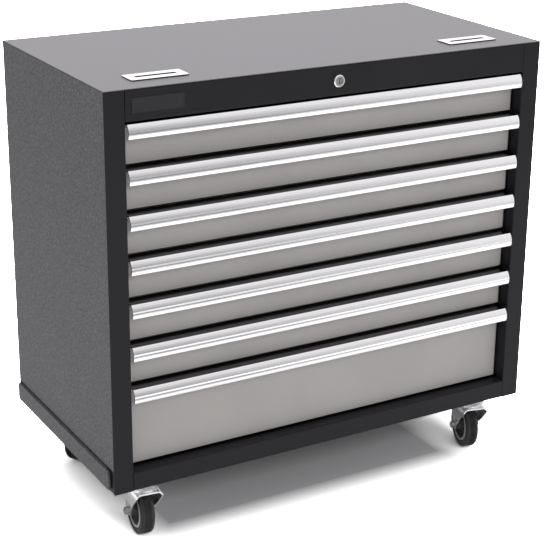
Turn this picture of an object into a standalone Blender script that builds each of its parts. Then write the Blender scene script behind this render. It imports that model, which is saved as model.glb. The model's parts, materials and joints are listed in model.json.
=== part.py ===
"""Workshop drawer cabinet: a folded steel case with seven drawers, a central lock and four swivel casters.

Metres, +Z up. The front faces -Y and +X is to its right. The origin is on the floor, at the middle of the
cabinet's whole width and depth. Every piece is a closed solid at rest: drawers shut, lock open.
"""

import math

import bmesh
import bpy
from mathutils import Matrix, Vector

# Case
body_width = 0.914
body_depth = 0.465
ground_clearance = 0.131
shell_wall = 0.0012
shell_bend = 0.0022
fit_gap = 0.0003
side_flange = 0.015
top_flange = 0.012
back_bead_width = 0.060
back_bead_depth = 0.003
back_bead_slope = 0.006
back_bead_offset = 0.230
back_bead_margin = 0.070

# Front frame
post_face = 0.039
post_return = 0.030
post_lip = 0.011
post_tuck = 0.025
top_rail_height = 0.0556
top_rail_flange = 0.020
bottom_rail_height = 0.0372
bottom_rail_top_flange = 0.026
bottom_rail_foot = 0.015

# Base
base_side_setback = 0.005
base_notch_margin = 0.001
strip_low = 0.0055
strip_height = 0.036
strip_proud = 0.0045
strip_front = 0.0155
strip_back = 0.002
strip_corner = 0.009
strip_groove = 0.004
foot_corner = 0.002

# Slot plates in the top
slot_plate_length = 0.110
slot_plate_depth = 0.044
slot_plate_thickness = 0.002
slot_plate_corner = 0.003
slot_plate_inset = 0.127
slot_plate_y = 0.066
slot_length = 0.080
slot_width = 0.009
slot_margin = 0.002

# Drawers
drawer_pitch = 0.0808
drawer_reveal = 0.0043
drawer_units_shares = (1, 1, 1, 1, 1, 1, 2)
front_recess = 0.0266
front_wall = 0.001
front_bend = 0.0025
front_fold = 0.015
front_side_gap = 0.0025
handle_side_gap = 0.0035
handle_wall = 0.002
handle_top_setback = 0.0016
handle_bulge = 0.0053
handle_bulge_drop = 0.0150
handle_lower_edge = 0.0034
handle_height = 0.0248
handle_groove = 0.0006
handle_groove_width = 0.0014
handle_web = 0.012
handle_web_gap = 0.0003
handle_hook = 0.008
handle_bead = 0.0035
tray_wall = 0.001
tray_bend = 0.0015
tray_side_gap = 0.017
tray_back_gap = 0.018
tray_floor_lift = 0.003
tray_rim_drop = 0.010
hem_height = 0.006
hem_wall = 0.0015

# Drawer slides
slide_half_height = 0.0145
slide_wall = 0.0014
slide_gap = 0.0005
slide_reach = 0.0115
slide_front_gap = 0.006
slide_length = 0.400
slide_seat = 0.0002

# Runner panels
runner_lead = 0.014
runner_tail = 0.015
runner_wall = 0.0012

# Lock
lock_drop = 0.030
lock_ring_radius = 0.0115
lock_ring_proud = 0.0035
lock_barrel_radius = 0.0090
lock_hole_gap = 0.0003
lock_barrel_length = 0.022
lock_nut_radius = 0.0125
lock_nut_length = 0.004
plug_radius = 0.0055
plug_gap = 0.0003
plug_inset = 0.0008
plug_tail = 0.003
keyway_width = 0.0018
keyway_height = 0.0075
keyway_depth = 0.008
shaft_radius = 0.004
crank_radius = 0.0065
crank_web = 0.003
crank_web_radius = 0.010
crank_pin_radius = 0.002
crank_pin_play = 0.0006
bar_width = 0.024
bar_wall = 0.003
bar_back_gap = 0.0004
bar_head_width = 0.032
bar_head_height = 0.018
bar_foot_margin = 0.020
hook_reach = 0.0085
hook_wall = 0.002
hook_width = 0.014
hook_play = 0.001
tab_width = 0.018
tab_wall = 0.0015
tab_below_slide = 0.006
keeper_wall = 0.0012
keeper_height = 0.014
keeper_foot = 0.010
keeper_gap = 0.0005
keeper_above_tab = 0.0145

# Casters
wheel_radius = 0.049
wheel_width = 0.030
tyre_shoulder = 0.006
tyre_inner_radius = 0.0325
tyre_bead_gap = 0.0003
hub_rim_width = 0.025
hub_rim_wall = 0.003
hub_web = 0.006
hub_barrel_radius = 0.011
hub_barrel_width = 0.042
axle_radius = 0.004
axle_gap = 0.0003
fork_wall = 0.0025
fork_side_gap = 0.0005
fork_corner = 0.011
fork_crown_gap = 0.0072
fork_crown_spread = 0.003
fork_crown_lead = 0.029
fork_spread_low = 0.0130
fork_spread_high = 0.0220
fork_edge_shares = ((0.0, 0.14), (0.1, 0.27), (0.3, 0.455), (0.526, 0.703), (0.772, 0.929))
fork_leg_end = 0.0095
fork_race_radius = 0.0265
fork_race_height = 0.0064
caster_trail = 0.028
caster_inset = 0.081
caster_y = 0.047
caster_back_y = 0.070
caster_headings = {"front_left": 174.0, "front_right": 165.0, "rear_left": 130.0, "rear_right": 125.0}
plate_length = 0.112
plate_depth = 0.070
plate_wall = 0.003
plate_corner = 0.007
plate_slot_length = 0.014
plate_slot_width = 0.009
plate_slot_inset = 0.012
race_radius = 0.027
race_neck_radius = 0.022
race_gap = 0.0005
king_pin_radius = 0.006
king_pin_gap = 0.0004
king_head_radius = 0.010
king_head_height = 0.0025
axle_head_across = 0.013
axle_head_height = 0.0053
axle_nut_height = 0.0065
axle_end = 0.002

# Facets
wheel_facets = 24
bolt_facets = 12
lock_facets = 20
bend_facets = 2
arc_facets = 4
cut_overrun = 0.002
merge_distance = 0.000002

# Heights and depths that follow from the sizes above
opening_half = body_width / 2 - post_face
slot_plate_x = body_width / 2 - slot_plate_inset
caster_x = body_width / 2 - caster_inset
stack_low = bottom_rail_height + drawer_reveal
stack_high = stack_low + drawer_pitch * sum(drawer_units_shares)
body_height = stack_high + top_rail_height + fit_gap + shell_wall
deck_low = body_height - shell_wall
strip_back_y = body_depth - strip_back
back_inner = body_depth - shell_wall - fit_gap
strip_high = strip_low + strip_height
side_low = strip_high + strip_groove
tray_front_y = front_recess + front_fold + fit_gap
tray_back_y = back_inner - tray_back_gap
tray_half_width = opening_half - tray_side_gap
slide_outer_x = tray_half_width + slide_reach
slide_front_y = tray_front_y + slide_front_gap
crank_angle = math.radians(45)
bar_lift = 2 * crank_radius * math.sin(crank_angle)
lock_z = body_height - lock_drop
wheel_axle_height = wheel_radius * math.cos(math.pi / wheel_facets)
plate_top_z = ground_clearance - fit_gap

# Finishes: base colour, roughness, metallic
finishes = {
    "textured_grey": ((0.115, 0.112, 0.118), 0.55, 0.0),
    "black_paint": ((0.026, 0.025, 0.030), 0.42, 0.0),
    "grey_paint": ((0.400, 0.392, 0.380), 0.38, 0.0),
    "bright_aluminium": ((0.800, 0.800, 0.810), 0.28, 1.0),
    "zinc": ((0.620, 0.640, 0.660), 0.32, 1.0),
    "chrome": ((0.830, 0.830, 0.840), 0.12, 1.0),
    "rubber": ((0.020, 0.020, 0.021), 0.65, 0.0),
    "hub_plastic": ((0.050, 0.050, 0.053), 0.45, 0.0),
    "steel": ((0.480, 0.480, 0.490), 0.35, 1.0),
}


def clear_scene():
    for obj in list(bpy.data.objects):
        bpy.data.objects.remove(obj, do_unlink=True)


def finish(piece, name):
    """A material of the piece's own, in one of the finishes."""
    colour, roughness, metallic = finishes[name]
    material = bpy.data.materials.new(f"{piece}_{name}")
    material.use_nodes = True
    shader = material.node_tree.nodes["Principled BSDF"]
    shader.inputs["Base Color"].default_value = (*colour, 1.0)
    shader.inputs["Roughness"].default_value = roughness
    shader.inputs["Metallic"].default_value = metallic
    return material


def axis_group(name, location, heading=0.0, parent=None):
    """An empty that stands on a joint's axis and carries the pieces that move with it."""
    group = bpy.data.objects.new(name, None)
    group.empty_display_size = axle_head_across
    group.location = location
    group.rotation_euler = (0.0, 0.0, math.radians(heading))
    group.parent = parent
    bpy.context.scene.collection.objects.link(group)
    return group


def place(name, mesh, finish_name, location=(0.0, 0.0, 0.0), parent=None, round_piece=False):
    """One named piece of the cabinet, with its own copy of the mesh's material."""
    piece = bpy.data.objects.new(name, mesh.copy())
    piece.data.name = name
    piece.data.materials.clear()
    piece.data.materials.append(finish(name, finish_name))
    if round_piece:
        piece.data.shade_smooth()
        piece.data.set_sharp_from_angle(angle=math.radians(35))
    piece.location = location
    piece.parent = parent
    bpy.context.scene.collection.objects.link(piece)
    return piece


def mesh_from(bm, name="shape"):
    bmesh.ops.remove_doubles(bm, verts=bm.verts, dist=merge_distance)
    bmesh.ops.recalc_face_normals(bm, faces=bm.faces)
    mesh = bpy.data.meshes.new(name)
    bm.to_mesh(mesh)
    bm.free()
    return mesh


def evaluated(obj):
    graph = bpy.context.evaluated_depsgraph_get()
    graph.update()
    return bpy.data.meshes.new_from_object(obj.evaluated_get(graph))


def with_modifiers(mesh, add_modifiers):
    """The mesh after the modifiers that add_modifiers puts on a passing object."""
    carrier = bpy.data.objects.new("carrier", mesh)
    bpy.context.scene.collection.objects.link(carrier)
    helpers = add_modifiers(carrier) or []
    result = evaluated(carrier)
    for helper in [carrier, *helpers]:
        bpy.data.objects.remove(helper, do_unlink=True)
    return result


def combined(mesh, others, operation):
    """The mesh joined to, cut by or kept within each of the others: UNION, DIFFERENCE or INTERSECT."""

    def add_booleans(carrier):
        helpers = []
        for other in others:
            helper = bpy.data.objects.new("cutter", other)
            helper.hide_render = True
            helper.display_type = "WIRE"
            bpy.context.scene.collection.objects.link(helper)
            boolean = carrier.modifiers.new("shape", "BOOLEAN")
            boolean.operation = operation
            boolean.solver = "EXACT"
            boolean.object = helper
            helpers.append(helper)
        return helpers

    return with_modifiers(mesh, add_booleans)


def united(mesh, *others):
    return combined(mesh, others, "UNION")


def cut(mesh, *others):
    return combined(mesh, others, "DIFFERENCE")


def mirrored_x(mesh):
    flipped = mesh.copy()
    flipped.transform(Matrix.Scale(-1, 4, (1, 0, 0)))
    flipped.flip_normals()
    return flipped


def prism(outline, axis, start, end):
    """A closed outline extruded along an axis: (y, z) points along X, (x, z) along Y and (x, y) along Z."""
    order = {
        "X": lambda a, b, c: (c, a, b),
        "Y": lambda a, b, c: (a, c, b),
        "Z": lambda a, b, c: (a, b, c),
    }[axis]
    bm = bmesh.new()
    near = [bm.verts.new(order(a, b, start)) for a, b in outline]
    far = [bm.verts.new(order(a, b, end)) for a, b in outline]
    bm.faces.new(near)
    bm.faces.new(list(reversed(far)))
    for i in range(len(outline)):
        j = (i + 1) % len(outline)
        bm.faces.new((near[i], far[i], far[j], near[j]))
    return mesh_from(bm)


def box(low, high):
    outline = [(low[0], low[1]), (high[0], low[1]), (high[0], high[1]), (low[0], high[1])]
    return prism(outline, "Z", low[2], high[2])


def turned(profile, axis, facets, phase=0.0):
    """A closed profile of (radius, place along the axis) turned once round X, Y or Z."""
    bm = bmesh.new()
    rings = []
    for i in range(facets):
        angle = phase + 2 * math.pi * i / facets
        c, s = math.cos(angle), math.sin(angle)
        spots = {
            "X": [(h, r * c, r * s) for r, h in profile],
            "Y": [(r * s, h, r * c) for r, h in profile],
            "Z": [(r * c, r * s, h) for r, h in profile],
        }[axis]
        rings.append([bm.verts.new(spot) for spot in spots])
    count = len(profile)
    for i in range(facets):
        here, there = rings[i], rings[(i + 1) % facets]
        for k in range(count):
            m = (k + 1) % count
            if profile[k][0] == 0 and profile[m][0] == 0:
                continue
            if profile[k][0] == 0:
                bm.faces.new((here[k], here[m], there[m]))
            elif profile[m][0] == 0:
                bm.faces.new((here[k], here[m], there[k]))
            else:
                bm.faces.new((here[k], here[m], there[m], there[k]))
    return mesh_from(bm)


def rod(radius, axis, start, end, centre=(0.0, 0.0), facets=bolt_facets, phase=0.0):
    """A round bar along an axis; its centre is given in the other two axes."""
    outline = [
        (centre[0] + radius * math.cos(phase + 2 * math.pi * i / facets),
         centre[1] + radius * math.sin(phase + 2 * math.pi * i / facets))
        for i in range(facets)
    ]
    return prism(outline, axis, start, end)


def corner_arc(centre, radius, start, end, facets):
    """Points of an arc between two angles in degrees."""
    angles = [math.radians(start + (end - start) * i / facets) for i in range(facets + 1)]
    return [(centre[0] + radius * math.cos(a), centre[1] + radius * math.sin(a)) for a in angles]


def rounded_rectangle(low, high, radii, facets=arc_facets):
    """A rectangle with its own radius at each corner: low-low, high-low, high-high, low-high."""
    corners = [(low[0], low[1]), (high[0], low[1]), (high[0], high[1]), (low[0], high[1])]
    inward = [(1, 1), (-1, 1), (-1, -1), (1, -1)]
    points = []
    for (a, b), (da, db), radius, start in zip(corners, inward, radii, (180, 270, 0, 90)):
        if radius == 0:
            points.append((a, b))
        else:
            points += corner_arc((a + da * radius, b + db * radius), radius, start, start + 90, facets)
    return points


def folded_outline(path, wall, bend, facets=bend_facets):
    """The section of a folded sheet: the path is its outer skin, and the wall lies on the path's right."""
    skin = []
    count = len(path)
    for i, spot in enumerate(path):
        here = Vector(spot)
        before = (here - Vector(path[i - 1])).normalized() if i > 0 else None
        after = (Vector(path[i + 1]) - here).normalized() if i < count - 1 else None
        if before is None or after is None:
            run = after or before
            skin.append((here, Vector((run.y, -run.x))))
            continue
        turn = before.cross(after)
        alpha = before.angle(after)
        radius = bend if turn < 0 else bend - wall
        tangent = radius * math.tan(alpha / 2)
        inner_side = Vector((before.y, -before.x)) * (1 if turn < 0 else -1)
        centre = here - before * tangent + inner_side * radius
        for k in range(facets + 1):
            sweep = alpha * k / facets * (-1 if turn < 0 else 1)
            spoke = Matrix.Rotation(sweep, 2) @ (-inner_side)
            normal = -spoke if turn < 0 else spoke
            skin.append((centre + spoke * radius, normal))
    outer = [(p.x, p.y) for p, n in skin]
    inner = [(p.x + n.x * wall, p.y + n.y * wall) for p, n in skin]
    return outer + list(reversed(inner))


def folded_box(low, high, sides, wall, bend, facets=bend_facets):
    """A folded and welded sheet: the named sides of a box, with rounded bends and an even wall inwards."""
    corner = {}
    bm = bmesh.new()
    for ix in (0, 1):
        for iy in (0, 1):
            for iz in (0, 1):
                spot = ((low, high)[ix][0], (low, high)[iy][1], (low, high)[iz][2])
                corner[ix, iy, iz] = bm.verts.new(spot)
    loops = {
        "-x": ((0, 0, 0), (0, 0, 1), (0, 1, 1), (0, 1, 0)),
        "+x": ((1, 0, 0), (1, 1, 0), (1, 1, 1), (1, 0, 1)),
        "-y": ((0, 0, 0), (1, 0, 0), (1, 0, 1), (0, 0, 1)),
        "+y": ((0, 1, 0), (0, 1, 1), (1, 1, 1), (1, 1, 0)),
        "-z": ((0, 0, 0), (0, 1, 0), (1, 1, 0), (1, 0, 0)),
        "+z": ((0, 0, 1), (1, 0, 1), (1, 1, 1), (0, 1, 1)),
    }
    for side in sides:
        bm.faces.new([corner[key] for key in loops[side]])
    loose = [vert for vert in bm.verts if not vert.link_faces]
    bmesh.ops.delete(bm, geom=loose, context="VERTS")
    folds = [edge for edge in bm.edges if len(edge.link_faces) == 2]
    bmesh.ops.bevel(bm, geom=folds, offset=bend, offset_type="OFFSET", segments=facets, profile=0.5,
                    affect="EDGES", clamp_overlap=True)
    skin = bpy.data.meshes.new("skin")
    bm.to_mesh(skin)
    bm.free()

    def add_wall(carrier):
        solidify = carrier.modifiers.new("wall", "SOLIDIFY")
        solidify.thickness = wall
        solidify.offset = -1
        solidify.use_even_offset = True
        solidify.use_quality_normals = True

    return with_modifiers(skin, add_wall)


def dished(outer, inner, axis, face, floor, rim):
    """A pan of any outline: its face and rim are outside, and its hollow runs from the floor to the rim."""
    shell = prism(outer, axis, min(face, rim), max(face, rim))
    overrun = cut_overrun if rim > floor else -cut_overrun
    hollow = prism(inner, axis, min(floor, rim + overrun), max(floor, rim + overrun))
    return cut(shell, hollow)


def arc_through(first, middle, last, facets):
    """Points along the arc of a circle through three points."""
    (ax, ay), (bx, by), (cx, cy) = first, middle, last
    d = 2 * (ax * (by - cy) + bx * (cy - ay) + cx * (ay - by))
    a2, b2, c2 = ax * ax + ay * ay, bx * bx + by * by, cx * cx + cy * cy
    centre = Vector(((a2 * (by - cy) + b2 * (cy - ay) + c2 * (ay - by)) / d,
                     (a2 * (cx - bx) + b2 * (ax - cx) + c2 * (bx - ax)) / d))
    start = Vector(first) - centre
    sweep = start.angle_signed(Vector(last) - centre)
    points = []
    for i in range(facets + 1):
        spot = centre + Matrix.Rotation(-sweep * i / facets, 2) @ start
        points.append((spot.x, spot.y))
    return points, centre


def side_panel():
    """The right outer side: a sheet whose back, top and foot flanges fold in and stop behind the post."""
    low = (body_width / 2 - side_flange, shell_wall + fit_gap, side_low)
    high = (body_width / 2, back_inner, deck_low - fit_gap)
    sheet = folded_box(low, high, ("+x", "+y", "-z", "+z"), shell_wall, shell_bend)
    post_room = box((opening_half, -cut_overrun, -cut_overrun),
                    (body_width / 2 - shell_wall - fit_gap / 3, post_tuck + fit_gap, body_height))
    return cut(sheet, post_room)


def top_panel():
    low = (-body_width / 2, 0.0, body_height - top_flange)
    high = (body_width / 2, body_depth, body_height)
    sheet = folded_box(low, high, ("+z", "+y"), shell_wall, shell_bend)
    slots = [slot_prism(side * slot_plate_x, slot_margin, deck_low - cut_overrun, body_height + cut_overrun)
             for side in (-1, 1)]
    return cut(sheet, *slots)


def slot_prism(x, margin, start, end):
    """A slot with round ends across the cabinet, centred on x."""
    half_length = slot_length / 2 + margin
    half_width = slot_width / 2 + margin
    outline = rounded_rectangle((x - half_length, slot_plate_y - half_width),
                                (x + half_length, slot_plate_y + half_width), (half_width,) * 4)
    return prism(outline, "Z", start, end)


def slot_plate(x):
    low = (x - slot_plate_length / 2, slot_plate_y - slot_plate_depth / 2)
    high = (x + slot_plate_length / 2, slot_plate_y + slot_plate_depth / 2)
    bottom = body_height + fit_gap
    plate = prism(rounded_rectangle(low, high, (slot_plate_corner,) * 4, bend_facets),
                  "Z", bottom, bottom + slot_plate_thickness)
    return cut(plate, slot_prism(x, 0.0, bottom - cut_overrun, bottom + slot_plate_thickness + cut_overrun))


def pressed_block(x, z_low, z_high, half_width, face, depth):
    """A block with sloping sides that reaches from the back sheet's face into the case."""
    slope = back_bead_slope
    wide = [(x - half_width, z_low), (x + half_width, z_low),
            (x + half_width, z_high), (x - half_width, z_high)]
    narrow = [(x - half_width + slope, z_low + slope), (x + half_width - slope, z_low + slope),
              (x + half_width - slope, z_high - slope), (x - half_width + slope, z_high - slope)]
    bm = bmesh.new()
    back = [bm.verts.new((a, face, b)) for a, b in wide]
    front = [bm.verts.new((a, face - depth, b)) for a, b in narrow]
    bm.faces.new(back)
    bm.faces.new(list(reversed(front)))
    for i in range(len(wide)):
        j = (i + 1) % len(wide)
        bm.faces.new((back[i], front[i], front[j], back[j]))
    return mesh_from(bm)


def back_panel():
    """The back sheet, with a pressed bead near each side and two keepers that hold the lock bar."""
    half = body_width / 2 - fit_gap
    inner = body_depth - shell_wall
    low, high = back_bead_margin, body_height - back_bead_margin
    half_bead = back_bead_width / 2
    sheet = box((-half, inner, 0.0), (half, body_depth, body_height - top_flange - fit_gap))
    beads = [pressed_block(side * back_bead_offset, low, high, half_bead, inner + slide_seat,
                           back_bead_depth + slide_seat) for side in (-1, 1)]
    dents = [pressed_block(side * back_bead_offset, low, high, half_bead, body_depth + merge_distance,
                           back_bead_depth + merge_distance) for side in (-1, 1)]
    cells = drawer_cells()
    straps = [keeper(tab_z(cell) + keeper_above_tab) for cell in (cells[0], cells[-1])]
    return cut(united(sheet, *beads, *straps), *dents)


def keeper(z):
    """A strap that bridges the lock bar, with a foot on each side of it."""
    inner_half = bar_width / 2 + keeper_gap
    back = body_depth - shell_wall + slide_seat
    front = back_inner - bar_back_gap - bar_wall - keeper_gap
    outer_half = inner_half + keeper_foot
    foot = back - slide_seat - keeper_wall
    outline = [(-outer_half, back), (-outer_half, foot), (-inner_half - keeper_wall, foot),
               (-inner_half - keeper_wall, front - keeper_wall),
               (inner_half + keeper_wall, front - keeper_wall), (inner_half + keeper_wall, foot),
               (outer_half, foot), (outer_half, back), (inner_half, back), (inner_half, front),
               (-inner_half, front), (-inner_half, back)]
    return prism(outline, "Z", z - keeper_height / 2, z + keeper_height / 2)


def front_post():
    """The right post: a channel whose face covers the side panel's edge, with a lip behind the opening."""
    inner = opening_half
    outer = body_width / 2
    tucked = outer - shell_wall - fit_gap
    face = box((inner + shell_wall, 0.0, 0.0), (outer, shell_wall, deck_low - fit_gap))
    path = [(inner + post_lip, post_return), (inner, post_return), (inner, 0.0), (tucked, 0.0),
            (tucked, post_tuck)]
    section = folded_outline(list(reversed(path)), shell_wall, shell_bend)
    channel = prism(section, "Z", 0.0, deck_low - fit_gap)
    return united(channel, face)


def top_rail():
    """The rail over the drawers: face, top flange and bottom flange, with the lock's hole."""
    half = opening_half - fit_gap
    low = deck_low - fit_gap - top_rail_height
    high = deck_low - fit_gap
    path = [(top_rail_flange, low), (0.0, low), (0.0, high), (top_rail_flange, high)]
    rail = prism(folded_outline(path, shell_wall, shell_bend), "X", -half, half)
    hole = rod(lock_barrel_radius + lock_hole_gap, "Y", -cut_overrun, shell_wall + cut_overrun,
               (0.0, lock_z), lock_facets)
    return cut(rail, hole)


def bottom_rail():
    half = opening_half - fit_gap
    path = [(bottom_rail_foot, 0.0), (0.0, 0.0), (0.0, bottom_rail_height),
            (bottom_rail_top_flange, bottom_rail_height)]
    return prism(folded_outline(path, shell_wall, shell_bend), "X", -half, half)


def base_tray():
    """The floor of the case, with sides and back folded up and its front corners notched round the posts."""
    half = body_width / 2 - base_side_setback
    low = (-half, bottom_rail_foot + fit_gap, 0.0)
    high = (half, back_inner, side_low - fit_gap)
    tray = folded_box(low, high, ("-z", "-x", "+x", "+y"), shell_wall, shell_bend)
    notch = box((opening_half - base_notch_margin, -cut_overrun, -cut_overrun),
                (body_width, post_return + fit_gap, side_low + cut_overrun))
    return cut(tray, notch, mirrored_x(notch))


def base_strip():
    """The right foot strip: a shallow pan with two rounded corners, open inwards and clear of the post."""
    outer_x = body_width / 2 + strip_proud
    inner_x = body_width / 2 - base_side_setback + fit_gap
    low, high = (strip_front, strip_low), (strip_back_y, strip_high)
    radii = (foot_corner, strip_corner, foot_corner, strip_corner)
    outer = rounded_rectangle(low, high, radii)
    inset_low = (low[0] + shell_wall, low[1] + shell_wall)
    inset_high = (high[0] - shell_wall, high[1] - shell_wall)
    inner = rounded_rectangle(inset_low, inset_high, [radius - shell_wall for radius in radii])
    strip = dished(outer, inner, "X", outer_x, outer_x - shell_wall, inner_x)
    post_room = box((opening_half, -cut_overrun, -cut_overrun),
                    (body_width / 2 + fit_gap, post_return + fit_gap, strip_high + cut_overrun))
    return cut(strip, post_room)


def slide_section(x_back, x_tip, z, half_height):
    """A C section with its back at x_back and two lips that reach to x_tip."""
    step = slide_wall if x_tip > x_back else -slide_wall
    return [(x_back, z - half_height), (x_tip, z - half_height), (x_tip, z - half_height + slide_wall),
            (x_back + step, z - half_height + slide_wall), (x_back + step, z + half_height - slide_wall),
            (x_tip, z + half_height - slide_wall), (x_tip, z + half_height), (x_back, z + half_height)]


def drawer_cells():
    """Low and high edge of each drawer's place in the stack, from the top drawer down."""
    cells = []
    high = stack_high
    for units in drawer_units_shares:
        low = high - units * drawer_pitch
        cells.append((low, high))
        high = low
    return cells


def slide_z(cell):
    """Middle height of a drawer's slides."""
    low, high = cell
    return (low + tray_floor_lift + high - drawer_reveal - tray_rim_drop) / 2


def tab_z(cell):
    """Underside of the catch tab behind a drawer's tray."""
    return slide_z(cell) - tab_below_slide


def runner_panel():
    """The right inner panel with the fixed rail of all seven slides; it stands on the side panel."""
    web_x = slide_outer_x
    start = slide_front_y
    low = (web_x, start + runner_lead, side_low + shell_bend + fit_gap)
    high = (body_width / 2 - shell_wall - fit_gap, start + slide_length - runner_tail,
            deck_low - shell_bend - 2 * fit_gap)
    panel = folded_box(low, high, ("-x", "-y", "+y", "-z", "+z"), runner_wall, shell_bend)
    half = slide_half_height + slide_gap + slide_wall
    tip = tray_half_width + slide_wall + slide_gap
    rails = [
        prism(slide_section(web_x + slide_seat, tip, slide_z(cell), half), "Y", start, start + slide_length)
        for cell in drawer_cells()
    ]
    return united(panel, *rails)


def handle_outline():
    """The handle's section in (y, z): hook, top, bulged face with a groove, finger bead and panel web."""
    top_edge = (handle_top_setback, 0.0)
    middle = (-handle_bulge, -handle_bulge_drop)
    bottom = (-handle_lower_edge, -handle_height)
    arc, centre = arc_through(top_edge, middle, bottom, 2 * arc_facets)
    groove_low = -handle_bulge_drop - handle_groove_width
    upper = [spot for spot in arc if spot[1] > -handle_bulge_drop + merge_distance]
    lower = [spot for spot in arc if spot[1] < groove_low - merge_distance]
    low_side = arc_point_at(arc, groove_low)
    groove = [middle, (middle[0] + handle_groove, -handle_bulge_drop - handle_groove_width / 2), low_side]
    skin = [(front_recess + handle_hook, 0.0), *upper, *groove, *lower,
            (handle_bead - handle_lower_edge, bottom[1])]
    inner = []
    for y, z in reversed(arc):
        spoke = (Vector((y, z)) - centre).normalized()
        inner.append((y - spoke.x * handle_wall, min(z - spoke.y * handle_wall, -handle_wall)))
    inner = [spot for spot in inner if spot[1] > bottom[1] + handle_wall]
    bead = [(handle_bead - handle_lower_edge, bottom[1] + handle_wall),
            (inner[0][0], bottom[1] + handle_wall)]
    web_front = front_recess - handle_web_gap - handle_wall
    web_back = front_recess - handle_web_gap
    web = [(web_front, -handle_wall), (web_front, -handle_web), (web_back, -handle_web),
           (web_back, -handle_wall)]
    tail = [(front_recess + handle_hook, -handle_wall)]
    return skin + bead + inner + web + tail


def arc_point_at(arc, height):
    """The point of a falling line of points at a height."""
    for (y0, z0), (y1, z1) in zip(arc, arc[1:]):
        if z1 <= height <= z0:
            share = (z0 - height) / (z0 - z1)
            return (y0 + (y1 - y0) * share, height)
    return arc[-1]


def drawer_handle():
    half = opening_half - handle_side_gap
    return prism(handle_outline(), "X", -half, half)


def drawer_front(cell):
    """The folded front panel, in the drawer's own frame with its handle's top at height zero."""
    low, high = cell
    top = high - drawer_reveal
    half = opening_half - front_side_gap
    return folded_box((-half, front_recess, low - top),
                      (half, front_recess + front_fold, -handle_wall - fit_gap),
                      ("-y", "-x", "+x", "-z", "+z"), front_wall, front_bend)


def drawer_tray(cell):
    """The tray with hemmed side walls, a front flange that closes the folded panel from behind, the moving
    rail of each slide and the catch tab at the back."""
    low, high = cell
    top = high - drawer_reveal
    floor = low + tray_floor_lift - top
    rim = -tray_rim_drop
    tray = folded_box((-tray_half_width, tray_front_y, floor), (tray_half_width, tray_back_y, rim),
                      ("-z", "-x", "+x", "-y", "+y"), tray_wall, tray_bend, 1)
    middle = slide_z(cell) - top
    start = slide_front_y
    tip = slide_outer_x + slide_seat - slide_wall - slide_gap
    rail = prism(slide_section(tray_half_width - slide_seat, tip, middle, slide_half_height),
                 "Y", start, min(start + slide_length, tray_back_y))
    hem = box((tray_half_width - tray_wall - hem_wall, tray_front_y + hem_wall, rim - hem_height),
              (tray_half_width - tray_wall + slide_seat, tray_back_y - hem_wall, rim))
    half = opening_half - front_side_gap
    flange = box((-half, tray_front_y, low - top), (half, tray_front_y + tray_wall, -handle_wall - fit_gap))
    return united(tray, flange, rail, mirrored_x(rail), hem, mirrored_x(hem), catch_tab(tab_z(cell) - top))


def catch_tab(z):
    """An arm behind the tray with a lip turned down, which the lock bar's finger catches."""
    lip_back = hook_front_y() + hook_wall + hook_play + tab_wall
    arm = box((-tab_width / 2, tray_back_y - slide_seat, z), (tab_width / 2, lip_back, z + tab_wall))
    lip = box((-tab_width / 2, lip_back - tab_wall, z - bar_lift), (tab_width / 2, lip_back, z + slide_seat))
    return united(arm, lip)


def hook_front_y():
    """The front of the lock bar's fingers."""
    return back_inner - bar_back_gap - bar_wall - hook_reach


def lock_bar():
    """The lifting bar: a flat bar with an upturned finger for each drawer and a cross slot for the crank."""
    back = back_inner - bar_back_gap
    front = back - bar_wall
    foot = stack_low + bar_foot_margin
    bar_top = lock_z - bar_head_height / 2 - bar_lift / 2
    head_top = bar_top + bar_head_height
    strip = box((-bar_width / 2, front, foot), (bar_width / 2, back, bar_top + slide_seat))
    head = box((-bar_head_width / 2, front, bar_top), (bar_head_width / 2, back, head_top))
    fingers = []
    for cell in drawer_cells():
        finger_top = tab_z(cell) - bar_lift - hook_play
        arm_top = finger_top - bar_lift
        arm = box((-hook_width / 2, hook_front_y(), arm_top - hook_wall),
                  (hook_width / 2, front + slide_seat, arm_top))
        finger = box((-hook_width / 2, hook_front_y(), arm_top - hook_wall + slide_seat),
                     (hook_width / 2, hook_front_y() + hook_wall, finger_top))
        fingers.append(united(arm, finger))
    pin_z = lock_z - bar_lift / 2
    half = crank_pin_radius + crank_pin_play
    slot_low = (-crank_radius - half, pin_z - half)
    slot_high = (-crank_radius * math.cos(crank_angle) + half, pin_z + half)
    slot = prism(rounded_rectangle(slot_low, slot_high, (half,) * 4, bend_facets),
                 "Y", front - cut_overrun, back + cut_overrun)
    return cut(united(strip, head, *fingers), slot)


def lock_housing():
    """The lock's fixed barrel: a rounded ring in front of the rail and a nut behind it."""
    front = -lock_ring_proud
    back = lock_barrel_length
    nut_front = shell_wall + fit_gap
    bore = plug_radius + plug_gap
    chamfer = lock_ring_proud / 3
    profile = [
        (bore, front), (lock_ring_radius - chamfer, front), (lock_ring_radius, front + chamfer),
        (lock_ring_radius, -fit_gap), (lock_barrel_radius, -fit_gap), (lock_barrel_radius, nut_front),
        (lock_nut_radius, nut_front), (lock_nut_radius, nut_front + lock_nut_length),
        (lock_barrel_radius, nut_front + lock_nut_length), (lock_barrel_radius, back), (bore, back),
    ]
    return turned(profile, "Y", lock_facets)


def lock_plug():
    """The turning plug, with its keyway cut into the front."""
    front = -lock_ring_proud + plug_inset
    plug = rod(plug_radius, "Y", front, lock_barrel_length + plug_tail, (0.0, 0.0), lock_facets)
    keyway = box((-keyway_width / 2, front - cut_overrun, -keyway_height / 2),
                 (keyway_width / 2, front + keyway_depth, keyway_height / 2))
    return cut(plug, keyway)


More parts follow.
